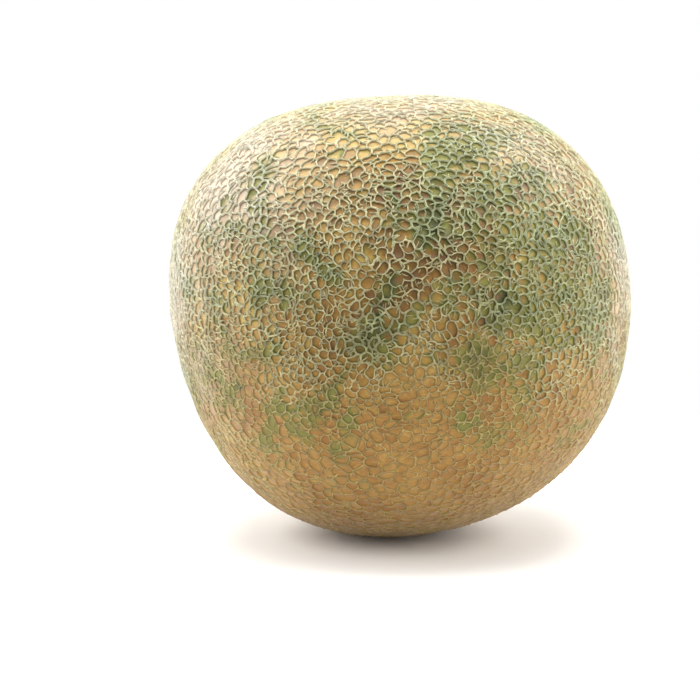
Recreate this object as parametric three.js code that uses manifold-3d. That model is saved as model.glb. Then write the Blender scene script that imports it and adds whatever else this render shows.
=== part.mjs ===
// A whole netted melon lying on its side, in millimetres with +Z up.
// The blossom end points along -Y, the stem end along +Y, and the melon rests on a small flat spot at Z = 0.

import * as THREE from "three";
import { mergeVertices } from "three/addons/utils/BufferGeometryUtils.js";
import Module from "manifold-3d";

// Driving dimensions, in millimetres.
const meanRadius = 79.7;
const lengthShare = 1.03;
const flatSpotDepth = 1.2;
const stemDent = { depth: 3.6, reach: 13 };
const blossomDent = { depth: 1.3, reach: 9 };

// The round section across the fruit carries a few broad waves, each higher by a share of the mean radius.
// A crest angle is measured from +X towards +Z: together they make a flat top, two shoulders and a narrower base.
const sectionWaves = [
  { count: 2, height: 0.018, crestDegrees: 0 },
  { count: 3, height: 0.024, crestDegrees: 26 },
  { count: 4, height: 0.022, crestDegrees: 52 },
];

// The surface grid: gores run from stem to blossom, rings lie across, closer together near both ends.
const goreCount = 66;
const ringCount = 46;
const endCrowding = 0.2;

const rindColour = 0xbfb083;
const rindRoughness = 0.72;

// The share by which a unit direction's radius differs from the mean. Each wave fades out towards the two ends.
function waveShare(direction) {
  const across = Math.hypot(direction.x, direction.z);
  const angle = Math.atan2(direction.z, direction.x);
  return sectionWaves.reduce((sum, { count, height, crestDegrees }) => {
    const crest = THREE.MathUtils.degToRad(crestDegrees);
    return sum + height * across ** count * Math.cos(count * (angle - crest));
  }, 0);
}

// How far the surface sinks at a given distance along it from the centre of a dent.
function dentDepth({ depth, reach }, distance) {
  return depth * Math.exp(-((distance / reach) ** 2));
}

// The distance from the centre of the fruit to its surface along a unit direction.
function surfaceRadius(direction) {
  const angleFromStem = Math.acos(THREE.MathUtils.clamp(direction.y, -1, 1));
  const stem = dentDepth(stemDent, meanRadius * angleFromStem);
  const blossom = dentDepth(blossomDent, meanRadius * (Math.PI - angleFromStem));
  return meanRadius * (1 + waveShare(direction)) - stem - blossom;
}

// Moves a point of the unit sphere along its gore, so that the rings crowd towards the ends.
function crowdTowardsEnds(direction) {
  const angleFromStem = Math.acos(THREE.MathUtils.clamp(direction.y, -1, 1));
  const moved = angleFromStem - (endCrowding / 2) * Math.sin(2 * angleFromStem);
  const across = Math.hypot(direction.x, direction.z);
  const scale = across > 0 ? Math.sin(moved) / across : 0;
  return direction.set(direction.x * scale, Math.cos(moved), direction.z * scale);
}

// The closed grown form, before it has settled on the ground. The poles of the sphere are the two ends.
function grownForm() {
  const sphere = new THREE.SphereGeometry(1, goreCount, ringCount);
  sphere.deleteAttribute("normal");
  sphere.deleteAttribute("uv");
  const form = mergeVertices(sphere);
  const positions = form.attributes.position;
  const point = new THREE.Vector3();
  for (let i = 0; i < positions.count; i += 1) {
    crowdTowardsEnds(point.fromBufferAttribute(positions, i).normalize());
    point.multiplyScalar(surfaceRadius(point));
    positions.setXYZ(i, point.x, point.y * lengthShare, point.z);
  }
  return form;
}

const wasm = await Module();
wasm.setup();

// A closed geometry as a solid that can be cut.
function toSolid(geometry) {
  return new wasm.Manifold(
    new wasm.Mesh({
      numProp: 3,
      vertProperties: new Float32Array(geometry.attributes.position.array),
      triVerts: new Uint32Array(geometry.index.array),
    }),
  );
}

// A cut solid back as a geometry.
function toGeometry(solid) {
  const mesh = solid.getMesh();
  const geometry = new THREE.BufferGeometry();
  geometry.setAttribute("position", new THREE.BufferAttribute(mesh.vertProperties, 3));
  geometry.setIndex(new THREE.BufferAttribute(mesh.triVerts, 1));
  return geometry;
}

// The ground: a block whose top lies at the given height, wider than the fruit.
function groundBlock(top) {
  const side = 3 * meanRadius;
  const block = new THREE.BoxGeometry(side, side, side);
  block.deleteAttribute("normal");
  block.deleteAttribute("uv");
  block.translate(0, 0, top - side / 2);
  return mergeVertices(block);
}

// The grown form with the flat spot it rests on, moved so that the spot lies at Z = 0
// and the fruit is centred over the origin.
function restingFruit() {
  const grown = grownForm();
  grown.computeBoundingBox();
  const spotHeight = grown.boundingBox.min.z + flatSpotDepth;
  const fruit = toGeometry(toSolid(grown).subtract(toSolid(groundBlock(spotHeight))));
  fruit.computeBoundingBox();
  const centre = fruit.boundingBox.getCenter(new THREE.Vector3());
  fruit.translate(-centre.x, -centre.y, -spotHeight);
  fruit.computeVertexNormals();
  return fruit;
}

function nettedRind() {
  return new THREE.MeshStandardMaterial({
    color: rindColour,
    roughness: rindRoughness,
    metalness: 0,
  });
}

const melon = new THREE.Mesh(restingFruit(), nettedRind());
melon.name = "melon";

const nettedMelon = new THREE.Group();
nettedMelon.add(melon);

export default nettedMelon;
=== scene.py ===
import math

import bpy
import numpy as np
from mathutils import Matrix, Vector
from mathutils.geometry import delaunay_2d_cdt


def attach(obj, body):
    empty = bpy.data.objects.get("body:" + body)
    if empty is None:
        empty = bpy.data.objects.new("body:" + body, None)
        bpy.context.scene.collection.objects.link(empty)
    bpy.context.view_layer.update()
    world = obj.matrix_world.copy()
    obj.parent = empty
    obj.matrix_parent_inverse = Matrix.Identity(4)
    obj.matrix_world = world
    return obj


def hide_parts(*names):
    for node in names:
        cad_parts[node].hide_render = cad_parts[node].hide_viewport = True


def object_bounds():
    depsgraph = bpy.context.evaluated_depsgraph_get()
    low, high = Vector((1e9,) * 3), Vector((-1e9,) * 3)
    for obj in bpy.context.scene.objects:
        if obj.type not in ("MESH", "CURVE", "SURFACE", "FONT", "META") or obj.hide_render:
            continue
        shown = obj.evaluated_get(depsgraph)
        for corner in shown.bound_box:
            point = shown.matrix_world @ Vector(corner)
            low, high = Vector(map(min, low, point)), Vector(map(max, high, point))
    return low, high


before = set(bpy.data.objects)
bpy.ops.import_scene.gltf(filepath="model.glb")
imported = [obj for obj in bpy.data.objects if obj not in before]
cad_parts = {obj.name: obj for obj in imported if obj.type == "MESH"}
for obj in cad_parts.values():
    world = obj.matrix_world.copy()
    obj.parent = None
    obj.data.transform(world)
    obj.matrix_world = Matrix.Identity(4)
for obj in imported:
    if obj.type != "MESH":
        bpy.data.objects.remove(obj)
cadLow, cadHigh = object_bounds()
print("frame loaded, box", [round(v, 4) for v in cadHigh - cadLow])

# The fruit's own shape, in metres. It lies on its side: blossom end at -Y, stem end at +Y.
melonShape = {
    "meanRadius": 0.0797,
    "lengthShare": 1.03,
    "flatSpotDepth": 0.0012,
    "stemDent": (0.0036, 0.013),  # depth, reach
    "blossomDent": (0.0013, 0.009),
    "sectionWaves": ((2, 0.018, 0), (3, 0.024, 26), (4, 0.022, 52)),  # count, height share, crest in degrees
}
meanRadius = melonShape["meanRadius"]

# Where the colours lie. A place is given by its angle round the fruit in degrees from +X towards +Z, and by
# its angle from the blossom end.
rindColours = {
    # Green tracts: angle, half width, strength, where the tract starts and where it ends.
    "tracts": (
        (78, 16, 0.85, -20, 15), (30, 12, 0.6, 4, 20), (88, 5, 0.55, 26, 41), (68, 9, 1.0, 24, 70),
        (48, 11, 0.8, 26, 64), (28, 13, 0.85, 18, 66), (7, 11, 0.85, 22, 70), (-13, 10, 0.95, 16, 44),
        (-36, 6, 0.65, 24, 44), (-30, 6, 0.5, 58, 96), (130, 7, 0.9, 15, 31), (153, 7, 0.85, 17, 35),
        (140, 8, 0.75, 33, 58), (166, 8, 0.6, 42, 76), (181, 7, 0.8, 20, 42), (197, 7, 0.7, 36, 80),
        (219, 6, 0.7, 24, 46), (231, 8, 0.85, 6, 33), (251, 6, 0.7, 18, 34), (112, 5, 0.4, 50, 90),
        (58, 7, 0.7, 80, 172), (22, 7, 0.75, 76, 172), (-12, 6, 0.7, 84, 172), (-48, 6, 0.6, 96, 172),
        (96, 6, 0.7, 92, 172), (128, 7, 0.7, 84, 172), (160, 6, 0.75, 88, 172), (194, 7, 0.7, 90, 172),
        (228, 6, 0.6, 80, 172),
    ),
    # Patches: angle, angle from the blossom end, reach in degrees, strength.
    "brown": (
        (0, 2, 7, 1.0), (52, 25, 11, 1.0), (110, 27, 13, 0.7), (80, 33, 9, 0.8), (10, 14, 6, 0.5),
        (150, 12, 8, 0.5),
    ),
    "gold": ((92, 56, 20, 1.0), (160, 34, 12, 0.5), (100, 110, 22, 0.6), (20, 120, 20, 0.5)),
    # The pale patches ring the fruit's visible rim: partly a paler rind, partly painted rim light, the
    # brightness of edges lit at a grazing angle.
    "paleAndRimLight": (
        (52, 68, 18, 0.45), (138, 64, 24, 1.0), (174, 70, 24, 1.0), (8, 78, 16, 0.8), (90, 84, 24, 0.8),
        (195, 84, 16, 0.6), (60, 130, 30, 0.5), (170, 130, 30, 0.5), (-20, 100, 20, 0.4),
    ),
    "blossomPatch": (5.5, 0.95),  # green round the blossom end: reach in degrees, strength
    "ground": (0.12, -0.36, -0.92),  # the way to the ground spot's middle
    "groundReach": (96, 40),  # degrees from the spot's middle: where it starts, where it is full
}


def normalised(vectors):
    return vectors / np.maximum(np.linalg.norm(vectors, axis=-1, keepdims=True), 1e-12)


def smoothStep(value, low, high):
    share = np.clip((value - low) / (high - low), 0, 1)
    return share * share * (3 - 2 * share)


# Smooth noise of spread one: a sum of plane waves in random directions, each about one period per size.
def waveNoise(points, size, seed, waveCount=26):
    random = np.random.default_rng(seed)
    ways = normalised(random.normal(size=(waveCount, 3)))
    pitch = 2 * np.pi / size * random.uniform(0.6, 1.5, waveCount)
    phase = random.uniform(0, 2 * np.pi, waveCount)
    return math.sqrt(2 / waveCount) * np.sin(points @ (ways * pitch[:, None]).T + phase).sum(axis=1)


# Angle from the blossom end, and angle round the fruit from +X towards +Z.
def polarAngles(ways):
    return np.arccos(np.clip(-ways[:, 1], -1, 1)), np.arctan2(ways[:, 2], ways[:, 0])


# Radius = mean x (1 + the sum of the waves) less a bell-shaped dent at each end. A wave is its height
# x (distance off the fruit's axis)^count x cos(count x (angle - crest)).
def surfaceRadius(ways):
    fromBlossom, angle = polarAngles(ways)
    across = np.hypot(ways[:, 0], ways[:, 2])
    share = sum(
        height * across**count * np.cos(count * (angle - math.radians(crest)))
        for count, height, crest in melonShape["sectionWaves"]
    )
    stemDepth, stemReach = melonShape["stemDent"]
    blossomDepth, blossomReach = melonShape["blossomDent"]
    stem = stemDepth * np.exp(-((meanRadius * (np.pi - fromBlossom) / stemReach) ** 2))
    blossom = blossomDepth * np.exp(-((meanRadius * fromBlossom / blossomReach) ** 2))
    return meanRadius * (1 + share) - stem - blossom


def evenDirections(count):
    step = np.arange(count) + 0.5
    y = 1 - 2 * step / count
    turn = step * math.pi * (3 - math.sqrt(5))
    flat = np.sqrt(1 - y * y)
    return np.stack([flat * np.cos(turn), y, flat * np.sin(turn)], axis=1)


def grownPoints(ways, height=0.0):
    return ways * (surfaceRadius(ways) + height)[:, None] * [1, melonShape["lengthShare"], 1]


# The move from the fruit's own centre to the frame, so that the form fills the CAD box.
def frameShift():
    grown = grownPoints(evenDirections(60000))
    low, high = grown.min(axis=0), grown.max(axis=0)
    middle = (np.array(cadLow) + np.array(cadHigh)) / 2
    shift = middle - (low + high) / 2
    shift[2] = cadLow[2] - low[2] - melonShape["flatSpotDepth"]
    return shift


shiftToFrame = frameShift()


# A point in the frame for each direction and height above the outer surface, flat where the fruit rests.
def surfacePoints(ways, height):
    points = grownPoints(ways, height) + shiftToFrame
    points[:, 2] = np.maximum(points[:, 2], cadLow[2])
    return points


def wrapped(degrees):
    return (degrees + 180) % 360 - 180


# How green the rind is: the strongest tract's bell curve across x a smooth start and end along, broken up by
# noise, with a patch round the blossom end.
def tractAmount(ways):
    at = ways * meanRadius
    fromBlossom, angle = np.degrees(polarAngles(ways))
    angle = angle + 4 * waveNoise(at, 0.05, 11) + 2 * waveNoise(at, 0.014, 12)
    along = fromBlossom + 1.5 * waveNoise(at, 0.02, 15)
    amount = np.zeros(len(ways))
    for place, width, strength, start, end in rindColours["tracts"]:
        across = strength * np.exp(-((wrapped(angle - place) / width) ** 2))
        length = smoothStep(along, start - 4, start + 4) * (1 - smoothStep(along, end - 5, end + 5))
        amount = np.maximum(amount, across * length)
    amount *= 0.90 + 0.16 * waveNoise(at, 0.022, 13) + 0.20 * waveNoise(at, 0.006, 14)
    reach, strength = rindColours["blossomPatch"]
    patch = np.exp(-((fromBlossom / reach) ** 2))
    return np.clip(np.maximum(amount, strength * patch), 0, 1)


# How much of a patch lies at each place: the strongest bell curve of the angle from the patch's middle.
def patchAmount(ways, patches, seed):
    at = ways * meanRadius
    uneven = 1 + 0.25 * waveNoise(at, 0.03, seed) + 0.2 * waveNoise(at, 0.01, seed + 1)
    amount = np.zeros(len(ways))
    for angle, fromBlossom, reach, strength in patches:
        turn, tilt = math.radians(angle), math.radians(fromBlossom)
        middle = [math.sin(tilt) * math.cos(turn), -math.cos(tilt), math.sin(tilt) * math.sin(turn)]
        away = np.degrees(np.arccos(np.clip(ways @ middle, -1, 1)))
        amount = np.maximum(amount, strength * np.exp(-((away / reach) ** 2)))
    return np.clip(amount * uneven, 0, 1)


# The ground spot: full below, fading out with the angle from its middle.
def groundAmount(ways):
    away = np.degrees(np.arccos(np.clip(ways @ normalised(np.array(rindColours["ground"])), -1, 1)))
    at = ways * meanRadius
    away += 6 * waveNoise(at, 0.04, 21) + 5 * waveNoise(at, 0.012, 22)
    start, full = rindColours["groundReach"]
    return 1 - smoothStep(away, full, start)


def markings(ways):
    return {
        "tract": tractAmount(ways), "ground": groundAmount(ways),
        "brown": patchAmount(ways, rindColours["brown"], 61),
        "gold": patchAmount(ways, rindColours["gold"], 63),
        "paleAndRimLight": patchAmount(ways, rindColours["paleAndRimLight"], 65),
    }


def meshFromArrays(name, points, quads, triangles):
    mesh = bpy.data.meshes.new(name)
    loops = np.concatenate([quads.ravel(), triangles.ravel()]).astype(np.int32)
    sizes = np.concatenate([np.full(len(quads), 4), np.full(len(triangles), 3)])
    starts = np.concatenate([[0], np.cumsum(sizes)[:-1]]).astype(np.int32)
    mesh.vertices.add(len(points))
    mesh.vertices.foreach_set("co", points.astype(np.float32).ravel())
    mesh.loops.add(len(loops))
    mesh.loops.foreach_set("vertex_index", loops)
    mesh.polygons.add(len(sizes))
    mesh.polygons.foreach_set("loop_start", starts)
    mesh.update(calc_edges=True)
    mesh.shade_smooth()
    piece = bpy.data.objects.new(name, mesh)
    bpy.context.scene.collection.objects.link(piece)
    return piece


def addValues(piece, **values):
    for name, data in values.items():
        attribute = piece.data.attributes.new(name, "FLOAT", "POINT")
        attribute.data.foreach_set("value", data.astype(np.float32))


def addMap(piece, corners):
    layer = piece.data.uv_layers.new(name="OFBake")
    layer.data.foreach_set("uv", corners.astype(np.float32).ravel())


# Joins a finished piece to the model: one body, the melon's node and its one finish.
def placePiece(piece, material):
    piece.data.materials.append(material)
    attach(piece, "root")
    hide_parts("melon")
    return piece


# An equal-area map of a quarter of all directions onto a square: r = sqrt(1 - |y|), then r is shared between
# u and v by the angle. The stem half folds over the diagonal.
def quarterMap(ways, sides, signX, signZ):
    stemHalf = sides > 0
    reach = np.sqrt(np.maximum(1 - np.where(stemHalf, 1, -1) * ways[:, 1], 0))
    turn = np.arctan2(signZ * ways[:, 2], signX * ways[:, 0]) * 2 / np.pi
    v = reach * np.clip(turn, -0.5, 1.5)
    u = reach - v
    u, v = np.where(stemHalf, 1 - v, u), np.where(stemHalf, 1 - u, v)
    return 0.5 + 0.91 * (np.stack([u, v], axis=1) - 0.5) + [0, 0.01]


# The net, in metres where nothing else is said.
netSettings = {
    "cells": 7400,
    "placesPerCell": 5,  # even places that the seeds are drawn from
    "relaxSteps": 8,
    "pushReach": 1.3,  # how far a seed pushes, in spacings
    "pushStep": 0.3,  # how far it is pushed in a step, in reaches
    "jitter": 0.15,  # how far a cell's seed is shaken from its even place, in spacings
    "openShare": 0.27,  # share of cells joined with a neighbour by a strand that breaks off
    "centring": 0.55,  # 0: a junction is as far from three seeds, 1: it is the mean of the three
    "leastStrand": 0.0009,  # from one junction to the next, at least
    "leastBroken": 0.0019,  # shorter strands are never broken off
    "stubGap": 0.0012,  # between the two ends of a broken strand, at least
    "pairRoom": 0.0010,  # from the middle of a joined pair to the strands round it, at least
    "widestPair": 0.0050,  # from that middle to the pair's farthest corner, at most
    "foldAllowed": 3e-8,  # square metres of a face turned over, at most
    "placeGap": 0.0009,  # between the points along a strand
    "mostPlaces": 3,  # points between a strand's two junctions, at most
    "settleSteps": 8,  # rounds that space the junctions and smooth folded rings
    "clearSteps": 14,  # rounds that clear the cells' middles
    "bow": 0.10,  # how far a strand bows sideways, against its length
    "sway": (0.0090, 0.00042),  # size and reach of the bends that neighbouring strands share
    "middleRoom": 0.0006,  # from a cell's middle to the strands round it, at least
    "tractThick": 0.16,  # how much thicker strands are in the green tracts
    "groundThin": 0.42,  # how much thinner they are on the ground spot
    "groundLow": 0.60,  # how much lower they are there
    "splitDip": 0.30,  # how far a split strand's crest sinks, against its height
    "bulges": (0.00008, 0.00034, 0.00005),  # of a cell's middle: everywhere, on the ground spot, by chance
    # How far a strand's top, then its foot, may reach into a cell: against the way to the cell's middle, and
    # against the middle's distance from the strand's line.
    "topRoom": (0.28, 0.40),
    "footRoom": (0.48, 0.66),
    "crestHalf": 0.00015,  # half the width of a strand's top
    "footHalf": 0.00035,  # half its width at the foot
    "strandHeight": 0.00062,
    "floorDepth": 0.00056,  # how far the rind lies under the outer surface
    "seed": 7,
}


# How much longer than wide the cells are, along a circle round the fruit's axis.
def cellStretch(ways):
    fromBlossom, angle = np.degrees(polarAngles(ways))
    top = np.exp(-(wrapped(angle - 97) / 36) ** 2) * smoothStep(fromBlossom, 30, 56)
    base = np.exp(-(wrapped(angle + 80) / 42) ** 2) * smoothStep(fromBlossom, 8, 22)
    left = np.exp(-(wrapped(angle - 150) / 40) ** 2) * smoothStep(fromBlossom, 40, 60)
    sides = 0.3 * smoothStep(fromBlossom, 40, 60)
    ends = smoothStep(fromBlossom, 4, 12) * (1 - smoothStep(fromBlossom, 150, 170))
    calm = 1 - 0.7 * tractAmount(ways)
    return 1 + ends * calm * np.max([2.8 * top, 2.2 * base, 1.0 * left, sides], axis=0)


# The wanted gap between seeds across the fruit's circles, against the mean.
def cellGap(ways):
    fromBlossom = np.degrees(polarAngles(ways)[0])
    blossomEnd = np.exp(-((fromBlossom / 10) ** 2))
    wide = waveNoise(ways * meanRadius, 0.03, 31)
    gap = 1.06 - 0.20 * tractAmount(ways) - 0.15 * blossomEnd + 0.09 * wide
    return np.clip(gap, 0.6, 1.35) * cellStretch(ways) ** -0.38


# The direction of the circle round the fruit's axis at each place.
def circleWays(ways):
    return normalised(np.stack([ways[:, 2], np.zeros(len(ways)), -ways[:, 0]], axis=1))


# Seeds spread by pushing each other apart: push = 1 - gap / reach, where the gap counts less along a circle
# by the cell's stretch. The step is the sum of the pushes, kept on the sphere.
def spreadSeeds():
    size, cells = netSettings, netSettings["cells"]
    random = np.random.default_rng(size["seed"])
    pool = evenDirections(size["placesPerCell"] * cells)
    share = 1 / (cellStretch(pool) * cellGap(pool) ** 2)
    spacing = math.sqrt(4 * math.pi * share.mean() / (0.87 * cells))
    chosen = random.choice(len(pool), cells, replace=False, p=share / share.sum())
    seeds = normalised(pool[chosen] + 0.2 * spacing * random.normal(size=(cells, 3)))
    for _ in range(size["relaxSteps"]):
        reach = size["pushReach"] * spacing * cellGap(seeds)
        ease = 1 - 1 / cellStretch(seeds) ** 2
        seeds32, circle = seeds.astype(np.float32), circleWays(seeds).astype(np.float32)
        gap = 2 - 2 * seeds32 @ seeds32.T - ease[:, None].astype(np.float32) * (circle @ seeds32.T) ** 2
        gap = np.sqrt(np.maximum(gap, 1e-10))
        push = np.maximum(0, 1 - gap / reach[:, None].astype(np.float32)) / gap
        np.fill_diagonal(push, 0)
        step = push.sum(axis=1)[:, None] * seeds - push @ seeds
        step -= (step * seeds).sum(axis=1)[:, None] * seeds
        seeds = normalised(seeds + size["pushStep"] * reach[:, None] * step)
    return normalised(seeds + size["jitter"] * spacing * random.normal(size=seeds.shape)), random


# The seeds' triangles on the sphere, turned to face out: a flat triangulation of the view from one seed,
# closed by a fan round that seed.
def sphereTriangles(seeds):
    eye = len(seeds) - 1
    top = seeds[eye]
    right = normalised(np.cross(top, [0.3, 0.5, 0.81]))
    up = np.cross(top, right)
    depth = 1 - seeds[:eye] @ top
    flat = np.stack([seeds[:eye] @ right / depth, seeds[:eye] @ up / depth], axis=1)
    made = delaunay_2d_cdt([Vector(p) for p in flat.tolist()], [], [], 0, 1e-9, True)
    source = np.array([group[0] for group in made[3]])
    inner = source[np.array(made[2])]
    start, end = inner.ravel(), np.roll(inner, -1, axis=1).ravel()
    alone = ~np.isin(start * len(seeds) + end, end * len(seeds) + start)
    fan = np.stack([end[alone], start[alone], np.full(alone.sum(), eye)], axis=1)
    triangles = np.concatenate([inner, fan])
    a, b, c = (seeds[triangles[:, i]] for i in range(3))
    facing = (np.cross(b - a, c - a) * (a + b + c)).sum(axis=1)
    triangles[facing < 0] = triangles[facing < 0][:, ::-1]
    return triangles


# The cells as rings of corners. Each corner of a triangle is one corner of its seed's cell.
def cellRings(triangles, seedCount):
    corner = np.arange(triangles.size)
    seed = triangles.ravel()
    after = corner - corner % 3 + (corner + 1) % 3
    before = corner - corner % 3 + (corner + 2) % 3
    key = seed * seedCount + seed[after]
    order = np.argsort(key)
    twin = order[np.searchsorted(key, seed[after] * seedCount + seed, sorter=order)]
    strand = np.unique(np.minimum(before, twin[before]), return_inverse=True)[1]
    return {
        "seed": seed,
        "junction": corner // 3,
        "other": before,  # the neighbour cell's corner at the same junction
        "turn": twin[before],  # the next corner round the same cell
        "strand": strand,  # the strand that leads there
    }


# Pushes junctions apart along strands that are too short.
def spacedJunctions(junctions, starts, ends):
    least = netSettings["leastStrand"] / meanRadius
    for _ in range(netSettings["settleSteps"]):
        along = junctions[ends] - junctions[starts]
        length = np.maximum(np.linalg.norm(along, axis=1), 1e-5)
        short = (np.maximum(least - length, 0) / length * 0.3)[:, None] * along
        np.add.at(junctions, ends, short)
        np.add.at(junctions, starts, -short)
        junctions = normalised(junctions)
    return junctions


# Strands to break off: each wins over every other strand of its two cells, so no cell is opened twice.
# A strand stays whole if its middle would lie outside the line of any strand round the joined pair, too near
# to it, or too far from a corner.
def brokenStrands(rings, seeds, junctions, random):
    size, seed, strand = netSettings, rings["seed"], rings["strand"]
    strandCount = strand.max() + 1
    across = seed[rings["other"]]
    start, end = junctions[rings["junction"]], junctions[rings["junction"][rings["turn"]]]
    upright = 1 - np.abs((normalised(end - start) * circleWays(seeds)[seed]).sum(axis=1))
    chance = random.random(strandCount)[strand] + 0.5 * upright * (cellStretch(seeds)[seed] > 1.4)
    length = np.linalg.norm(end - start, axis=1)
    chance += 0.25 * length * meanRadius * 1000
    chance -= 9.0 * (length * meanRadius < size["leastBroken"])
    best = np.zeros(len(seeds))
    np.maximum.at(best, seed, chance)
    winner = (chance >= best[seed]) & (chance >= best[across]) & (chance > 0)
    candidate = np.full(len(seeds), -1)
    isCandidate = np.isin(strand, strand[winner])
    candidate[seed[isCandidate]] = strand[isCandidate]

    strandMiddle = np.zeros((strandCount, 3))
    strandMiddle[strand] = normalised(start + end)
    mine = candidate[seed]
    reach = (strandMiddle[mine] - start) * meanRadius
    clear = (reach * normalised(np.cross(start, end - start))).sum(axis=1)
    clear[np.linalg.norm(reach, axis=1) > size["widestPair"]] = 0
    clear = np.where((mine < 0) | (mine == strand), 1.0, clear)
    least = np.ones(len(seeds))
    np.minimum.at(least, seed, clear)
    isClear = np.minimum(least[seed], least[across]) > size["pairRoom"]
    winners = np.unique(strand[winner & isClear])
    count = min(len(winners), int(size["openShare"] * len(seeds)))
    broken = np.zeros(strandCount, bool)
    broken[random.permutation(winners)[:count]] = True
    return broken


# Moves places along the surface by three smooth noises, one for each axis.
def swayed(ways):
    size, reach = netSettings["sway"]
    shift = np.stack([waveNoise(ways * meanRadius, size, seed) for seed in (51, 52, 53)], axis=1)
    return normalised(ways + reach / meanRadius * shift)


# Moves the middles that lie too near their cell's border, or outside it, off every strand's line they are
# short of: the move is the mean of the missing distances, square to those lines.
def clearMiddles(middle, start, end, cellOf, counted):
    inward = normalised(np.cross(start, end - start))
    wanted = netSettings["middleRoom"] / meanRadius
    for _ in range(netSettings["clearSteps"]):
        missing = np.maximum(wanted - ((middle[cellOf] - start) * inward).sum(axis=1), 0) * counted
        share = np.maximum(np.bincount(cellOf, missing > 0, len(middle)), 1)
        moves = [np.bincount(cellOf, missing * inward[:, i], len(middle)) / share for i in range(3)]
        middle = normalised(middle + 1.2 * np.stack(moves, axis=1))
    return middle


# Evens out the foot ring wherever it runs backwards against the crest ring.
def unfolded(foot, here, following, preceding):
    onward = here[following] - here
    for _ in range(netSettings["settleSteps"]):
        folded = ((foot[following] - foot) * onward).sum(axis=1) < 0.15 * (onward**2).sum(axis=1)
        folded = folded | folded[preceding]
        even = (foot[preceding] + foot[following]) / 2
        foot = np.where(folded[:, None], normalised(0.3 * foot + 0.7 * even), foot)
    return foot


# The net, laid three times: before the next time, each broken strand whose joined pair folds over itself is
# made whole.
def netSurface():
    size = netSettings
    seeds, random = spreadSeeds()
    triangles = sphereTriangles(seeds)
    rings = cellRings(triangles, len(seeds))
    print("net:", len(seeds), "cells,", len(triangles), "junctions")

    a, b, c = (seeds[triangles[:, i]] for i in range(3))
    even, central = normalised(np.cross(b - a, c - a)), normalised(a + b + c)
    junctions = normalised((1 - size["centring"]) * even + size["centring"] * central)
    firstCorner = np.unique(rings["strand"], return_index=True)[1]
    starts = rings["junction"][firstCorner]
    ends = rings["junction"][rings["turn"][firstCorner]]
    junctions = spacedJunctions(junctions, starts, ends)
    broken = brokenStrands(rings, seeds, junctions, random)
    for _ in range(3):
        net = laidNet(seeds, rings, junctions, starts, ends, broken)
        a, b, c = (net["ways"][net["fans"][:, i]] for i in range(3))
        facing = (np.cross(b - a, c - a) * a).sum(axis=1) * meanRadius ** 2
        turnedOver = facing < -size["foldAllowed"]
        print("net: broken strands", broken.sum(), "folded places", turnedOver.sum())
        broken[net["strand"][np.isin(net["cellOf"], net["cellOf"][turnedOver])]] = False
    return net


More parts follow.
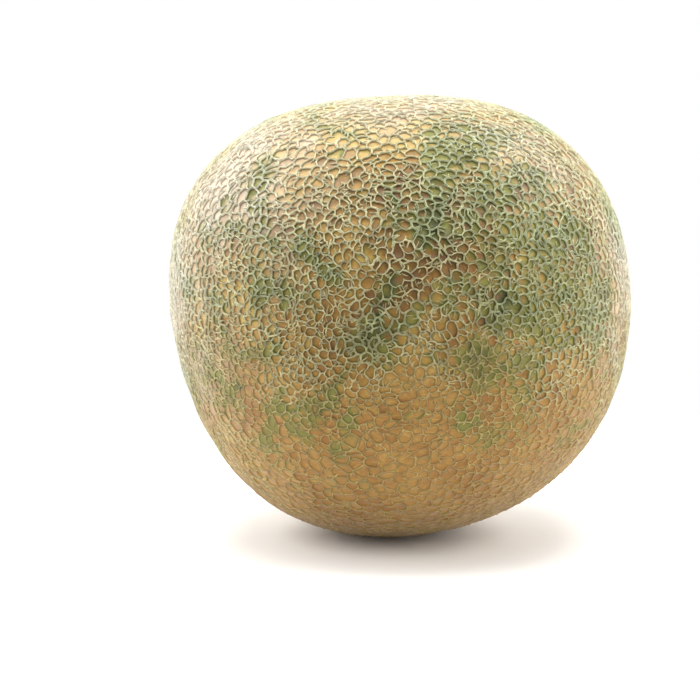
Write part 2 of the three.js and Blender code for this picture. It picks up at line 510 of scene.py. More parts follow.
# The whole rind with its net as one closed surface. Each cell is a ring of crest points along its strands,
# then an inner ring on the strands' tops, a ring at their feet, and a middle point.
def laidNet(seeds, rings, junctions, starts, ends, broken):
    size = netSettings
    random = np.random.default_rng(size["seed"] + 1)
    strandCount = len(starts)

    # Crest points along the whole strands. At a share t of its length a strand lies off the straight line by
    # its length x (one bow x sin(pi t) + half of another bow x sin(2 pi t)).
    along = junctions[ends] - junctions[starts]
    lengths = np.linalg.norm(along, axis=1) * meanRadius
    places = np.clip(np.round(lengths / size["placeGap"]) - 1, 0, size["mostPlaces"]).astype(int)
    places[broken] = 0
    firstPlace = np.cumsum(places) - places
    strandOf = np.repeat(np.arange(strandCount), places)
    share = (np.arange(len(strandOf)) - firstPlace[strandOf] + 1) / (places[strandOf] + 1)
    bows = size["bow"] * random.normal(size=(2, strandCount))[:, strandOf]
    bend = bows[0] * np.sin(np.pi * share) + 0.5 * bows[1] * np.sin(2 * np.pi * share)
    origin, way = junctions[starts[strandOf]], along[strandOf]
    middles = normalised(origin + share[:, None] * way + bend[:, None] * np.cross(origin, way))

    # The two ends of each broken strand, and the middle of the gap between them.
    brokenAt = np.flatnonzero(broken)
    most = np.clip(1 - size["stubGap"] / lengths[brokenAt], 0.1, 0.85)
    reaches = random.uniform(0.3, 0.92, len(brokenAt)) * most
    reaches = np.stack([reaches, random.uniform(0.3, 1, len(brokenAt)) * (most - reaches)], axis=1)
    swapped = random.random(len(brokenAt)) < 0.5
    reaches[swapped] = reaches[swapped][:, ::-1]
    fromEnds = np.stack([reaches[:, 0], 1 - reaches[:, 1]], axis=1)
    stubs = junctions[starts[brokenAt]][:, None] + fromEnds[:, :, None] * along[brokenAt][:, None]
    gapMiddles = np.zeros((strandCount, 3))
    gapMiddles[brokenAt] = normalised(stubs.mean(axis=1))
    crest = np.concatenate([junctions, middles, normalised(stubs.reshape(-1, 3))])

    # Ring places: every corner, and after it the points of the strand that leads to the next corner.
    isStub = broken[rings["strand"]]
    counts = np.where(isStub, 2, 1 + places[rings["strand"]])
    firstOf = np.cumsum(counts) - counts
    owner = np.repeat(np.arange(len(counts)), counts)
    step = np.arange(len(owner)) - firstOf[owner]
    lastStep = counts[owner] - 1
    strand = rings["strand"][owner]
    forward = rings["junction"][owner] == starts[strand]
    onStrand = len(junctions) + firstPlace[strand] + np.where(forward, step - 1, lastStep - step)
    stubRank = np.zeros(strandCount, int)
    stubRank[brokenAt] = np.arange(len(brokenAt))
    onStub = len(junctions) + len(middles) + 2 * stubRank[strand] + np.where(forward, 0, 1)
    crestOf = np.where(step == 0, rings["junction"][owner], np.where(isStub[owner], onStub, onStrand))
    target = np.where(isStub, rings["other"], rings["turn"])
    following = np.where(step == lastStep, firstOf[target[owner]], np.arange(len(owner)) + 1)
    preceding = np.argsort(following)

    # A cell's middle: the mean of its corners, or the middle of the gap in a joined pair's broken strand.
    stubCorners = np.flatnonzero(isStub)
    middleOf = np.arange(len(seeds))
    pairCell = rings["seed"][stubCorners]
    partner = rings["seed"][rings["other"][stubCorners]]
    middleOf[pairCell] = np.minimum(pairCell, partner)
    total = np.zeros((len(seeds), 3))
    np.add.at(total, rings["seed"], junctions[rings["junction"]])
    cellMiddle = normalised(total)
    cellMiddle[middleOf[pairCell]] = gapMiddles[rings["strand"][stubCorners]]
    cells, cellOfSeed = np.unique(middleOf, return_inverse=True)
    cellOf = cellOfSeed[rings["seed"]][owner]
    crest = swayed(crest)
    here = crest[crestOf]
    cellMiddle = clearMiddles(swayed(cellMiddle[cells]), here, here[following], cellOf, ~isStub[owner])

    # What varies over the net.
    at = crest * meanRadius
    tract, ground = tractAmount(crest), groundAmount(crest)
    calmEnd = 1 - smoothStep(np.degrees(polarAngles(crest)[0]), 166, 174)
    strandThick = np.exp(0.24 * random.normal(size=strandCount))
    joined = np.bincount(rings["junction"], strandThick[rings["strand"]]) / 3
    thick = np.concatenate([joined, strandThick[strandOf], np.repeat(strandThick[brokenAt], 2)])
    thick *= (1 + 0.12 * waveNoise(at, 0.02, 41)) * (1 + 0.07 * random.normal(size=len(crest)))
    thick = np.clip(thick * (1 + size["tractThick"] * tract - size["groundThin"] * ground), 0.5, 1.7)
    tall = np.clip(1 + 0.14 * waveNoise(at, 0.012, 42) - size["groundLow"] * ground, 0.32, 1.3)
    tall *= 0.35 + 0.65 * calmEnd
    isTip = np.arange(len(crest)) >= len(junctions) + len(middles)
    thick[isTip] *= 0.6
    tall[isTip] *= 0.55
    split = smoothStep(waveNoise(at, 0.006, 43) + 0.35, -0.4, 0.9) * smoothStep(thick, 0.7, 1.1)

    # Inward offsets, square to the strands on both sides and longer in a sharp corner.
    ahead = normalised(here - crest[crestOf[preceding]])
    onward = normalised(crest[crestOf[following]] - here)
    inward = np.cross(here, ahead) + np.cross(here, onward)
    width = np.linalg.norm(inward, axis=1)
    inward = np.where((width < 0.25)[:, None], ahead, inward / np.maximum(width, 0.25)[:, None])
    longer = 1 / np.maximum(width / 2, 0.8)
    longer[width < 0.25] = 1
    toMiddle = (cellMiddle[cellOf] - here) * meanRadius
    room = np.linalg.norm(toMiddle, axis=1)
    isWhole = ~isStub[owner]
    clearAhead = np.where(isWhole[preceding], (toMiddle * np.cross(here, ahead)).sum(axis=1), room)
    clearOnward = np.where(isWhole, (toMiddle * np.cross(here, onward)).sum(axis=1), room)
    clear = np.maximum(np.minimum(clearAhead, clearOnward), 0.00012)
    inner = []
    for half, most in (("crestHalf", "topRoom"), ("footHalf", "footRoom")):
        limit = np.minimum(size[most][0] * room, size[most][1] * clear)
        reach = np.minimum(size[half] * thick[crestOf] * longer, limit) / meanRadius
        inner.append(normalised(here + reach[:, None] * inward))
    top, foot = inner
    foot = normalised(0.8 * foot + 0.1 * (foot[preceding] + foot[following]))
    foot = unfolded(foot, here, following, preceding)

    # Heights, from the outer surface: a strand's top dips along its middle where it has split.
    height, floor = size["strandHeight"], -size["floorDepth"]
    common, onGround, chance = size["bulges"]
    bulge = common + onGround * groundAmount(cellMiddle) + chance * random.normal(size=len(cells))
    crestHeight = floor + height * tall * (1.0 - size["splitDip"] * split)
    topHeight = (floor + height * tall * 0.94)[crestOf]
    ringCount = len(crestOf)
    footHeight = np.full(ringCount, floor)
    middleHeight = bulge + floor

    topAt = len(crest) + np.arange(ringCount)
    footAt = topAt + ringCount
    middleAt = len(crest) + 2 * ringCount + cellOf
    tone = random.normal(size=len(cells))
    strandTone = 0.5 * random.normal(size=len(crest)) + 0.6 * waveNoise(at, 0.01, 44)
    return {
        "ways": np.concatenate([crest, top, foot, cellMiddle]),
        "heights": np.concatenate([crestHeight, topHeight, footHeight, middleHeight]),
        "quads": np.stack([
            [crestOf, crestOf[following], topAt[following], topAt],
            [topAt, topAt[following], footAt[following], footAt],
        ]).transpose(0, 2, 1),
        "fans": np.stack([footAt, footAt[following], middleAt], axis=1),
        "edge": np.concatenate([
            np.zeros(len(crest)), np.full(ringCount, 0.5), np.full(ringCount, 1.0), np.full(len(cells), 2.0)
        ]),
        "split": np.concatenate([split, split[crestOf], np.zeros(ringCount + len(cells))]),
        "strandTone": np.concatenate([
            strandTone, strandTone[crestOf], strandTone[crestOf], np.zeros(len(cells))
        ]),
        "cellTone": np.concatenate([np.zeros(len(crest) + ringCount), tone[cellOf], tone]),
        "cellMiddle": cellMiddle, "cellOf": cellOf, "crestPlace": here, "room": room,
        "tall": tall[crestOf], "strand": strand,
    }


# One quarter of the rind, picked by the signs of x and z, and closed by walls to the fruit's middle.
def buildRindQuarter(net, colours, points, signX, signZ, name, material):
    middle = net["cellMiddle"]
    isMine = (np.where(middle[:, 0] < 0, -1, 1) == signX) & (np.where(middle[:, 2] < 0, -1, 1) == signZ)
    isMine = isMine[net["cellOf"]]
    quads = net["quads"][:, isMine].reshape(-1, 4)
    fans = net["fans"][isMine]
    start, end = net["quads"][0, isMine, 0], net["quads"][0, isMine, 1]
    count = len(points)
    alone = ~np.isin(start * count + end, end * count + start)
    start, end = start[alone], end[alone]
    used = np.unique(np.concatenate([quads.ravel(), fans.ravel()]))
    rank = np.zeros(count, int)
    rank[used] = np.arange(len(used))
    quads, fans, start, end = rank[quads], rank[fans], rank[start], rank[end]
    walls = np.stack([end, start, np.full(len(start), len(used))], axis=1)
    shell = np.concatenate([points[used], points.mean(axis=0)[None]])
    piece = meshFromArrays(name, shell, quads, np.concatenate([fans, walls]))
    addValues(piece, **{key: np.append(values[used], 0.0) for key, values in colours.items()})

    # The rim of the quarter is a sharp edge, so that the walls don't bend the shading of the rind.
    edges = np.zeros(2 * len(piece.data.edges), np.int32)
    piece.data.edges.foreach_get("vertices", edges)
    edges = np.sort(edges.reshape(-1, 2), axis=1) @ [len(used) + 1, 1]
    rim = np.sort(np.stack([start, end], axis=1), axis=1) @ [len(used) + 1, 1]
    sharp = piece.data.attributes.new("sharp_edge", "BOOLEAN", "EDGE")
    sharp.data.foreach_set("value", np.isin(edges, rim))

    ways = net["ways"][used]
    corners = np.concatenate([quads.ravel(), fans.ravel()])
    sides = np.concatenate([np.repeat(ways[f].mean(axis=1)[:, 1], f.shape[1]) for f in (quads, fans)])
    step = (np.arange(len(walls))[:, None] + [0.0, 0.8, 0.4]) / len(walls)
    wallSpots = np.stack([step, np.tile([0.004, 0.004, 0.014], (len(walls), 1))], axis=2).reshape(-1, 2)
    addMap(piece, np.concatenate([quarterMap(ways[corners], sides, signX, signZ), wallSpots]))
    return placePiece(piece, material)


def buildRind(net, material):
    points = surfacePoints(net["ways"], net["heights"])
    colours = {key: net[key] for key in ("edge", "split", "strandTone", "cellTone")}
    colours.update(markings(net["ways"]))
    for name, signX, signZ in (
        ("rind_top_right", 1, 1), ("rind_top_left", -1, 1),
        ("rind_base_left", -1, -1), ("rind_base_right", 1, -1),
    ):
        buildRindQuarter(net, colours, points, signX, signZ, name, material)


# Short spurs of cork that branch off the strands and end on the rind.
spurSettings = {
    "count": 4600,  # in each piece
    "freeShare": 0.13,  # share that lies loose on the rind
    "length": (0.0014, 0.0033),
    "halfWidth": 0.00029,
    "height": 0.00056,
    "sides": 5,
    "stations": (0.0, 0.42, 0.8),
    "leastRoom": 0.0011,  # metres from the strand to its cell's middle, at least
    "pieces": {"cork_spurs_a": 19, "cork_spurs_b": 20},  # each with the seed of its layout
}


# Each spur follows a bent line from a strand into its cell. At a station s its half width is the full one
# x (1 - 0.4 s^2) and its height the full one x (1 - 0.4 s^2), down to a point at s = 1.
def buildSpurs(net, name, seed, material):
    size = spurSettings
    random = np.random.default_rng(seed)
    isOpen = random.random(len(net["room"])) < cellStretch(net["crestPlace"]) ** -1.1
    chosen = random.permutation(np.flatnonzero((net["room"] > size["leastRoom"]) & isOpen))[: size["count"]]
    count = len(chosen)
    start = net["crestPlace"][chosen]
    inward = normalised(net["cellMiddle"][net["cellOf"][chosen]] - start)
    swing = random.uniform(-0.8, 0.8, count)[:, None]
    along = normalised(inward * np.cos(swing) + np.cross(start, inward) * np.sin(swing))
    length = np.minimum(random.uniform(*size["length"], count), 1.4 * net["room"][chosen]) / meanRadius
    free = random.random(count) < size["freeShare"]
    moved = np.where(free, 0.5 * net["room"][chosen] / meanRadius, 0.0)
    start = normalised(start + along * moved[:, None])
    turned = normalised(along + np.cross(start, along) * random.uniform(-1.6, 1.6, count)[:, None])
    along = np.where(free[:, None], turned, along)
    side = np.cross(start, along)
    bend = random.normal(size=count) * 0.28

    station = np.array(size["stations"])
    around = (np.arange(size["sides"]) + 0.5) * 2 * np.pi / size["sides"]
    scale = np.where(free, 0.7, 1.0) * random.uniform(0.75, 1.25, count)
    wide = size["halfWidth"] / meanRadius * scale[:, None] * (1 - 0.4 * station**2)
    wide[:, 0] *= np.where(free, 0.4, 1.0)
    tall = size["height"] * (scale * net["tall"][chosen])[:, None] * (1 - 0.4 * station**2)
    line = (
        start[:, None] + (length[:, None] * station)[..., None] * along[:, None]
        + ((bend * length)[:, None] * station**2)[..., None] * side[:, None]
    )
    ringWays = line[:, :, None] + (wide[..., None] * np.cos(around))[..., None] * side[:, None, None]
    ringHeights = tall[..., None] * np.sin(around) - netSettings["floorDepth"]
    ends = np.stack([
        start - 0.06 * length[:, None] * along,
        start + length[:, None] * along + (bend * length)[:, None] * side,
    ], axis=1)
    endHeights = np.full((count, 2), -netSettings["floorDepth"] - 0.00004)

    stations, sides = len(station), size["sides"]
    each = stations * sides + 2
    ways = np.concatenate([ringWays.reshape(count, -1, 3), ends], axis=1).reshape(-1, 3)
    heights = np.concatenate([ringHeights.reshape(count, -1), endHeights], axis=1).ravel()
    points = surfacePoints(normalised(ways), heights)

    ring = np.arange(sides)
    onward = (ring + 1) % sides
    bands = np.concatenate([
        np.stack([r * sides + ring, r * sides + onward, (r + 1) * sides + onward, (r + 1) * sides + ring], 1)
        for r in range(stations - 1)
    ])
    last = (stations - 1) * sides
    caps = np.concatenate([
        np.stack([np.full(sides, each - 2), onward, ring], axis=1),
        np.stack([np.full(sides, each - 1), last + ring, last + onward], axis=1),
    ])
    offset = (np.arange(count) * each)[:, None, None]
    quads = (bands + offset).reshape(-1, 4)
    triangles = (caps + offset).reshape(-1, 3)
    piece = meshFromArrays(name, points, quads, triangles)
    owner = np.repeat(start, each, axis=0)
    addValues(piece, strandTone=np.repeat(random.normal(size=count), each), **markings(owner))

    # The map: one small tile for each spur, along it by around it.
    columns = int(math.ceil(math.sqrt(count)))
    tile = np.stack([np.arange(count) % columns, np.arange(count) // columns], axis=1)
    local = np.concatenate([
        np.stack([np.repeat(0.25 + 0.25 * np.arange(stations), sides), np.tile(ring / sides, stations)], 1),
        [[0.06, 0.5], [0.94, 0.5]],
    ])
    spots = ((tile[:, None, :] + 0.08 + 0.84 * local) / columns).reshape(-1, 2)
    addMap(piece, spots[np.concatenate([quads.ravel(), triangles.ravel()])])
    return placePiece(piece, material)


scarSettings = {
    "radius": 0.0078,
    "rings": 26,
    "sectors": 84,
    "rimHeight": 0.0011,
    "depth": 0.0022,
}


# A corky disc: height by radius share r and angle t = a raised rim near r = 0.84, fine circles, radial cracks
# that deepen outwards, and a small sunk core. Its underside is the same grid, flat and inside the fruit.
def buildStemScar(material):
    size = scarSettings
    share = np.linspace(0.04, 1.0, size["rings"])[:, None]
    turn = (np.arange(size["sectors"]) * 2 * np.pi / size["sectors"])[None, :]
    lobes = 1 + 0.05 * np.sin(3 * turn + 0.8) + 0.035 * np.sin(5 * turn + 2.0) + 0.02 * np.sin(9 * turn)
    radius = size["radius"] * share * lobes
    rim = size["rimHeight"] * np.exp(-(((share - 0.84) / 0.13) ** 2)) * (1 + 0.18 * np.sin(7 * turn + 1))
    circles = 0.00010 * np.sin(34 * share + 0.7 * np.sin(2 * turn)) * (share < 0.9)
    crack = np.maximum(0, np.cos(6 * turn + 1.4 * np.sin(4 * share + turn))) ** 14
    core = 0.0007 * np.exp(-((share / 0.22) ** 2))
    height = rim + circles - 0.00045 * crack * smoothStep(share, 0.3, 0.7) - core + 0.0002
    height = np.where(share > 0.97, -0.0006, height)
    x, z = radius * np.cos(turn), radius * np.sin(turn)
    way = normalised(np.stack([x, np.full_like(x, meanRadius), z], axis=-1)).reshape(-1, 3)
    stemWay = np.array([[0.0, 1.0, 0.0]])
    points = np.concatenate([
        surfacePoints(way, height.ravel()), surfacePoints(way, -size["depth"]),
        surfacePoints(stemWay, -0.0006), surfacePoints(stemWay, -size["depth"]),
    ])

    rings, sectors = size["rings"], size["sectors"]
    grid = np.arange(rings * sectors).reshape(rings, sectors)
    inner, outer = grid[:-1], grid[1:]
    topQuads = np.stack([inner, np.roll(inner, -1, 1), np.roll(outer, -1, 1), outer], axis=-1).reshape(-1, 4)
    baseQuads = topQuads[:, ::-1] + rings * sectors
    edge = grid[-1]
    wall = np.stack([edge, np.roll(edge, -1), np.roll(edge, -1) + grid.size, edge + grid.size], axis=1)
    first = grid[0]
    following = np.roll(first, -1)
    capTop = np.stack([np.full(sectors, 2 * grid.size), following, first], axis=1)
    capBase = np.stack([np.full(sectors, 2 * grid.size + 1), first, following], axis=1)
    capBase[:, 1:] += grid.size
    piece = meshFromArrays(
        "stem_scar", points, np.concatenate([topQuads, baseQuads, wall]), np.concatenate([capTop, capBase])
    )
    ringShare = np.repeat(share.ravel(), sectors)
    addValues(
        piece,
        ringShare=np.concatenate([ringShare, ringShare, [0, 0]]),
        crack=np.concatenate([(crack * np.ones_like(share)).ravel(), np.zeros(grid.size + 2)]),
    )
    return placePiece(piece, material)


def addNode(tree, kind, inputs=None, **settings):
    node = tree.nodes.new(kind)
    for name, value in settings.items():
        setattr(node, name, value)
    for key, value in (inputs or {}).items():
        socket = node.inputs[key]
        if isinstance(value, bpy.types.NodeSocket):
            tree.links.new(value, socket)
        else:
            socket.default_value = value
    return node


def readValue(tree, name):
    return addNode(tree, "ShaderNodeAttribute", attribute_name=name).outputs["Fac"]


def maths(tree, operation, a, b=0.0):
    return addNode(tree, "ShaderNodeMath", {0: a, 1: b}, operation=operation).outputs[0]


def times(tree, a, b):
    return maths(tree, "MULTIPLY", a, b)


# The start plus each term's value x its weight.
def weighted(tree, start, *terms):
    for value, weight in terms:
        start = maths(tree, "ADD", start, times(tree, value, weight))
    return start


def remap(tree, value, low, high, toLow=0.0, toHigh=1.0, smooth=True):
    way = "SMOOTHSTEP" if smooth else "LINEAR"
    return addNode(
        tree, "ShaderNodeMapRange", {0: value, 1: low, 2: high, 3: toLow, 4: toHigh}, interpolation_type=way
    ).outputs[0]


# Mixes two colours, each given by a socket or by its name in finishColours.
def mixColours(tree, share, first, second, blend="MIX"):
    node = addNode(tree, "ShaderNodeMix", data_type="RGBA", blend_type=blend, clamp_factor=True)
    for socket, value in ((node.inputs[0], share), (node.inputs[6], first), (node.inputs[7], second)):
        if isinstance(value, bpy.types.NodeSocket):
            tree.links.new(value, socket)
        elif isinstance(value, str):
            socket.default_value = (*finishColours[value], 1.0)
        else:
            socket.default_value = value
    return node.outputs[2]


def noise(tree, where, name):
    scale, detail = noises[name]
    inputs = {"Vector": where, "Scale": scale, "Detail": detail, "Roughness": 0.55}
    return addNode(tree, "ShaderNodeTexNoise", inputs).outputs["Fac"]


# A node group that takes the named values and a place, and gives a colour, a height and a roughness.
def finishGroup(name, values):
    tree = bpy.data.node_groups.new(name, "ShaderNodeTree")
    sockets = [(value, "INPUT", "Float") for value in values] + [
        ("Place", "INPUT", "Vector"), ("Colour", "OUTPUT", "Color"),
        ("Height", "OUTPUT", "Float"), ("Roughness", "OUTPUT", "Float"),
    ]
    for socketName, side, kind in sockets:
        tree.interface.new_socket(socketName, in_out=side, socket_type="NodeSocket" + kind)
    return tree, tree.nodes.new("NodeGroupInput").outputs, tree.nodes.new("NodeGroupOutput").inputs


def giveOut(tree, made, colour, height, roughness):
    for socketName, socket in (("Colour", colour), ("Height", height), ("Roughness", roughness)):
        tree.links.new(socket, made[socketName])
    return tree


# Linear colours.
finishColours = {
    "cream": (0.475, 0.445, 0.245),
    "sage": (0.315, 0.345, 0.180),
    # partly the cork's own pale colour, partly painted rim light
    "chalkAndRimLight": (0.60, 0.555, 0.465),
    "tan": (0.37, 0.255, 0.080),
    # painted shade for creases and cracks
    "grooveShade": (0.17, 0.13, 0.05),
    "brown": (0.125, 0.058, 0.014),
    "ochre": (0.30, 0.170, 0.029),
    "straw": (0.47, 0.32, 0.080),
    "orange": (0.335, 0.172, 0.037),
    "rust": (0.270, 0.122, 0.021),
    # partly the rind's own pale colour, partly painted rim light
    "blushAndRimLight": (0.575, 0.465, 0.345),
    "darkGreen": (0.024, 0.042, 0.006),
    "leafGreen": (0.150, 0.158, 0.026),
    "speck": (0.09, 0.06, 0.02),
    "footShade": (0.36, 0.29, 0.22),  # painted shade: multiplies the rind beside a strand's foot, where the strand shades it
    "scarCore": (0.17, 0.105, 0.045),
}

# Each noise's periods in a metre, and its detail.
noises = {
    "corkGrain": (1500.0, 2.0), "corkPatches": (90.0, 2.0), "corkFlecks": (520.0, 2.0),
    "broad": (40.0, 2.0), "fine": (420.0, 3.0), "pores": (2600.0, 2.0), "wrinkles": (250.0, 1.5),
}

# Each material's bump: height in metres, strength.
bumps = {"rind": (0.00014, 0.85), "spur": (0.00008, 0.7), "scar": (0.00025, 1.0)}


# Cork: cream over the ochre rind, sage over the green tracts, tan on the ground spot and chalky in the pale
# patches (partly paler rind, partly painted rim light), with fine grain. Used by the net, the spurs and the
# scar.
def makeCorkGroup():
    tree, given, made = finishGroup("corkFinish", ("Tract", "Ground", "Pale", "Tone"))
    grain = noise(tree, given["Place"], "corkGrain")
    patches = noise(tree, given["Place"], "corkPatches")
    greener = weighted(tree, given["Tract"], (patches, 0.5))
    colour = mixColours(
        tree, remap(tree, greener, 0.34, 0.85), "cream", "sage"
    )
    # Partly painted rim light: the pale patches turn the cork chalky.
    colour = mixColours(tree, times(tree, given["Pale"], 0.7), colour, "chalkAndRimLight")
    colour = mixColours(tree, times(tree, given["Ground"], 0.85), colour, "tan")
    light = weighted(tree, 1.0, (given["Tone"], 0.09))
    light = times(tree, light, remap(tree, grain, 0.3, 0.7, 0.78, 1.14))
    flecks = noise(tree, given["Place"], "corkFlecks")
    light = times(tree, light, remap(tree, flecks, 0.35, 0.62, 0.72, 1.10))
    scaled = addNode(tree, "ShaderNodeVectorMath", {0: colour, "Scale": light}, operation="SCALE")
    roughness = remap(tree, grain, 0.3, 0.7, 0.70, 0.88)
    return giveOut(tree, made, scaled.outputs[0], grain, roughness)


# The rind between the strands: brown, ochre and straw by noise, by cell and by patch, pale patches (partly
# paler rind, partly painted rim light), green in the tracts and most of all beside the strands, and tiny dark
# specks.
# The ground spot is orange, with level wrinkles and faint strands between them.
def makeSkinGroup():
    values = ("Tract", "Ground", "Brown", "Gold", "Pale", "Cell", "Rim")
    tree, given, made = finishGroup("skinFinish", values)
    broad = noise(tree, given["Place"], "broad")
    fine = noise(tree, given["Place"], "fine")
    pores = noise(tree, given["Place"], "pores")
    level = addNode(
        tree, "ShaderNodeVectorMath", {0: given["Place"], 1: (0.4, 0.4, 1.3)}, operation="MULTIPLY"
    )
    wrinkles = maths(tree, "SUBTRACT", noise(tree, level.outputs[0], "wrinkles"), 0.5)
    uneven = maths(tree, "SUBTRACT", fine, 0.5)
    depth = weighted(
        tree, broad, (given["Cell"], 0.06), (uneven, 0.55), (given["Brown"], -0.22), (given["Gold"], 0.20)
    )
    ramp = addNode(tree, "ShaderNodeValToRGB", {"Fac": depth})
    stops = ramp.color_ramp.elements
    stops[0].position, stops[0].color = 0.24, (*finishColours["brown"], 1)
    stops[1].position, stops[1].color = 0.76, (*finishColours["straw"], 1)
    middle = stops.new(0.50)
    middle.color = (*finishColours["ochre"], 1)
    orange = mixColours(
        tree, remap(tree, depth, 0.35, 0.65), "rust", "orange"
    )
    faintStrand = remap(tree, maths(tree, "ABSOLUTE", wrinkles, 0.0), 0.003, 0.026, 0.4, 0.0)
    orange = mixColours(tree, faintStrand, orange, "straw")
    colour = mixColours(tree, times(tree, given["Ground"], 0.85), ramp.outputs["Color"], orange)
    # Partly painted rim light: the pale patches turn the rind a pale blush.
    colour = mixColours(tree, times(tree, given["Pale"], 0.9), colour, "blushAndRimLight")
    deepGreen = weighted(tree, depth, (given["Tract"], -0.25), (given["Pale"], 0.4))
    green = mixColours(
        tree, remap(tree, deepGreen, -0.06, 0.34), "darkGreen", "leafGreen"
    )
    nearStrand = maths(tree, "SUBTRACT", given["Rim"], 0.4)
    patchy = weighted(tree, given["Tract"], (uneven, 0.9), (given["Cell"], 0.14), (nearStrand, 0.34))
    colour = mixColours(tree, remap(tree, patchy, 0.16, 0.76, 0.0, 0.92), colour, green)
    colour = mixColours(tree, remap(tree, pores, 0.66, 0.74, 0.0, 0.35), colour, "speck")
    height = weighted(tree, fine, (times(tree, wrinkles, given["Ground"]), 2.2))
    return giveOut(tree, made, colour, height, remap(tree, fine, 0.3, 0.7, 0.54, 0.70))


def startMaterial(name):
    material = bpy.data.materials.new(name)
    material.use_nodes = True
    tree = material.node_tree
    shader = tree.nodes["Principled BSDF"]
    place = addNode(tree, "ShaderNodeTexCoord").outputs["Object"]
    return material, tree, shader, place


def addGroup(tree, group, **inputs):
    return addNode(tree, "ShaderNodeGroup", inputs, node_tree=group).outputs


# Joins a shader to its colour, roughness and bump, and sets its other values by name.
def finishShader(tree, shader, colour, roughness, height, bump, **values):
    distance, strength = bumps[bump]
    bumped = addNode(tree, "ShaderNodeBump", {"Height": height, "Distance": distance, "Strength": strength})
    for name, socket in (("Base Color", colour), ("Roughness", roughness), ("Normal", bumped.outputs[0])):
        tree.links.new(socket, shader.inputs[name])
    for name, value in values.items():
        shader.inputs[name].default_value = value


corkSheen = {"Specular IOR Level": 0.3, "Sheen Weight": 0.15}


# The edge value is 0 along a strand's crest, 1 at its foot and 2 in the middle of a cell.
def makeRindMaterial(cork, skin):
    material, tree, shader, place = startMaterial("nettedRind")
    edge, tract, ground = (readValue(tree, n) for n in ("edge", "tract", "ground"))
    brown, gold, paleAndRimLight = (readValue(tree, n) for n in ("brown", "gold", "paleAndRimLight"))
    strand = addGroup(
        tree, cork, Tract=tract, Ground=ground, Pale=paleAndRimLight, Tone=readValue(tree, "strandTone"), Place=place
    )
    floor = addGroup(
        tree, skin, Tract=tract, Ground=ground, Brown=brown, Gold=gold, Pale=paleAndRimLight,
        Cell=readValue(tree, "cellTone"), Rim=remap(tree, edge, 1.0, 1.8, 1.0, 0.0), Place=place,
    )
    isStrand = remap(tree, edge, 0.62, 0.96, 1.0, 0.0)
    # Painted shade: the crease along a split strand's top is darkened.
    crease = times(tree, remap(tree, edge, 0.0, 0.34, 1.0, 0.0), readValue(tree, "split"))
    # Painted shade: the rind just beside a strand's foot is darkened, less on the ground spot.
    foot = times(tree, remap(tree, edge, 0.72, 1.0), remap(tree, edge, 1.0, 1.3, 1.0, 0.0))
    foot = times(tree, foot, remap(tree, ground, 0.0, 1.0, 1.0, 0.6))
    cutStrand = mixColours(tree, times(tree, crease, 0.75), strand["Colour"], "grooveShade")
    shadedFloor = mixColours(
        tree, times(tree, foot, 0.75), floor["Colour"], "footShade", "MULTIPLY"
    )
    colour = mixColours(tree, isStrand, shadedFloor, cutStrand)
    roughness, height = (
        addNode(tree, "ShaderNodeMix", {0: isStrand, 2: onFloor, 3: onStrand}, data_type="FLOAT").outputs[0]
        for onFloor, onStrand in (
            (floor["Roughness"], strand["Roughness"]), (times(tree, floor["Height"], 2.4), strand["Height"])
        )
    )
    sheen = {"Sheen Roughness": 0.45, **corkSheen}
    finishShader(tree, shader, colour, roughness, height, "rind", **sheen)
    return material


def makeSpurMaterial(cork):
    material, tree, shader, place = startMaterial("looseCork")
    tract, ground, paleAndRimLight, tone = (readValue(tree, n) for n in ("tract", "ground", "paleAndRimLight", "strandTone"))
    made = addGroup(tree, cork, Tract=tract, Ground=ground, Pale=paleAndRimLight, Tone=tone, Place=place)
    finishShader(tree, shader, made["Colour"], made["Roughness"], made["Height"], "spur", **corkSheen)
    return material


def makeScarMaterial(cork):
    material, tree, shader, place = startMaterial("stemCork")
    made = addGroup(tree, cork, Tract=0.0, Ground=0.0, Pale=0.0, Tone=-1.5, Place=place)
    share, crack = readValue(tree, "ringShare"), readValue(tree, "crack")
    core = mixColours(tree, remap(tree, share, 0.1, 0.75, 0.9, 0.15), made["Colour"], "scarCore")
    # Painted shade: the stem scar's cracks are darkened.
    colour = mixColours(tree, times(tree, crack, 0.7), core, "grooveShade")
    finishShader(tree, shader, colour, made["Roughness"], made["Height"], "scar")
    return material


studio = {
    "azimuth": 6.0,
    "elevation": 7.0,
    "lens": 120.0,
    "frameWidth": 0.2440,  # metres seen across at the fruit's middle
    "aside": -0.0172,  # the aim, right and up of the fruit's middle
    "above": -0.0122,
    "worldLight": 0.14,  # the white world's strength as a light
    "floorSide": 3.0,  # from the floor's middle to its edge
    "floorColour": (0.92, 0.92, 0.91, 1),
    "floorFade": (0.10, 0.30),  # metres from its middle between which the floor turns into plain white
}


def addCamera():
    low, high = Vector(cadLow), Vector(cadHigh)
    middle = (low + high) / 2
    azimuth, elevation = math.radians(studio["azimuth"]), math.radians(studio["elevation"])
    back = Vector((
        math.sin(azimuth) * math.cos(elevation), -math.cos(azimuth) * math.cos(elevation), math.sin(elevation)
    ))
    data = bpy.data.cameras.new("camera")
    data.lens = studio["lens"]
    camera = bpy.data.objects.new("camera", data)
    bpy.context.scene.collection.objects.link(camera)
    distance = studio["frameWidth"] / data.sensor_width * data.lens
    camera.location = middle + back * distance
    right = Vector((math.cos(azimuth), math.sin(azimuth), 0))
    up = right.cross(-back)
    aim = middle + right * studio["aside"] + up * studio["above"]
    camera.rotation_mode = "QUATERNION"
    camera.rotation_quaternion = (aim - camera.location).to_track_quat("-Z", "Y")
    bpy.context.scene.camera = camera


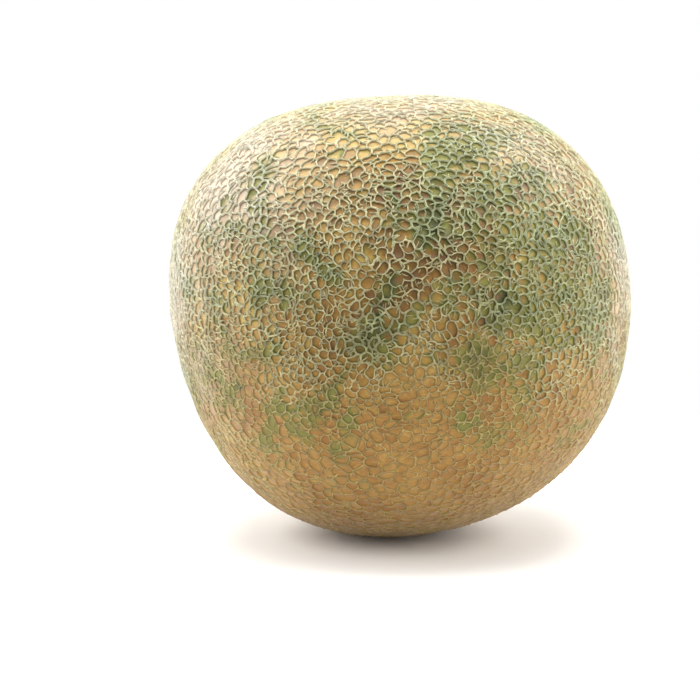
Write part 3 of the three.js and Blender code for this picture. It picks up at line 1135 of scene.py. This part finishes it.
# Each softbox's place, size and power in watts. All face the fruit's middle.
softboxes = {
    "left": ((-0.66, -0.04, 0.34), (0.8, 0.8), 8.6),
    "right": ((0.66, -0.02, 0.28), (0.8, 0.8), 7.4),
    "top": ((0.0, 0.02, 0.75), (0.7, 0.5), 8.2),
    "back": ((0.0, 0.75, 0.30), (1.2, 0.7), 6.0),
    "front": ((-0.10, -0.95, 0.75), (0.5, 0.5), 1.2),
}


def addSoftboxes():
    target = (Vector(cadLow) + Vector(cadHigh)) / 2
    for name, (place, size, power) in softboxes.items():
        data = bpy.data.lights.new(name + "Softbox", "AREA")
        data.shape = "RECTANGLE"
        data.size, data.size_y = size
        data.energy = power
        lamp = bpy.data.objects.new(name + "Softbox", data)
        lamp.location = place
        lamp.rotation_mode = "QUATERNION"
        lamp.rotation_quaternion = (target - lamp.location).to_track_quat("-Z", "Y")
        bpy.context.scene.collection.objects.link(lamp)


# White to the eye, dimmer as a light.
def addWorld():
    world = bpy.data.worlds.new("studio")
    world.use_nodes = True
    bpy.context.scene.world = world
    tree = world.node_tree
    background = tree.nodes["Background"]
    background.inputs["Color"].default_value = (1, 1, 1, 1)
    seen = addNode(tree, "ShaderNodeLightPath").outputs["Is Camera Ray"]
    strength = remap(tree, seen, 0.0, 1.0, studio["worldLight"], 1.0, smooth=False)
    tree.links.new(strength, background.inputs["Strength"])


def addFloor():
    side = studio["floorSide"]
    corners = np.array([[-side, -side, 0], [side, -side, 0], [side, side, 0], [-side, side, 0]], float)
    corners[:, 2] = cadLow[2] - 0.0002
    floor = meshFromArrays("floor", corners, np.array([[0, 1, 2, 3]]), np.zeros((0, 3), int))
    material, tree, shader, place = startMaterial("paleFloor")
    shader.inputs["Base Color"].default_value = studio["floorColour"]
    shader.inputs["Roughness"].default_value = 0.8
    away = addNode(tree, "ShaderNodeVectorMath", {0: place}, operation="LENGTH").outputs["Value"]
    glow = addNode(tree, "ShaderNodeEmission", {"Color": (1, 1, 1, 1), "Strength": 1.0})
    mixed = addNode(tree, "ShaderNodeMixShader", {
        0: remap(tree, away, *studio["floorFade"]), 1: shader.outputs[0], 2: glow.outputs[0]
    })
    tree.links.new(mixed.outputs[0], tree.nodes["Material Output"].inputs["Surface"])
    floor.data.materials.append(material)


scene = bpy.context.scene
scene.view_settings.view_transform = "Standard"
addCamera()
addWorld()
addSoftboxes()
addFloor()
print("studio ready")

corkGroup, skinGroup = makeCorkGroup(), makeSkinGroup()
net = netSurface()
buildRind(net, makeRindMaterial(corkGroup, skinGroup))
print("rind ready")
spurMaterial = makeSpurMaterial(corkGroup)
for name, seed in spurSettings["pieces"].items():
    buildSpurs(net, name, seed, spurMaterial)
print("spurs ready")
buildStemScar(makeScarMaterial(corkGroup))
print("stem scar ready")
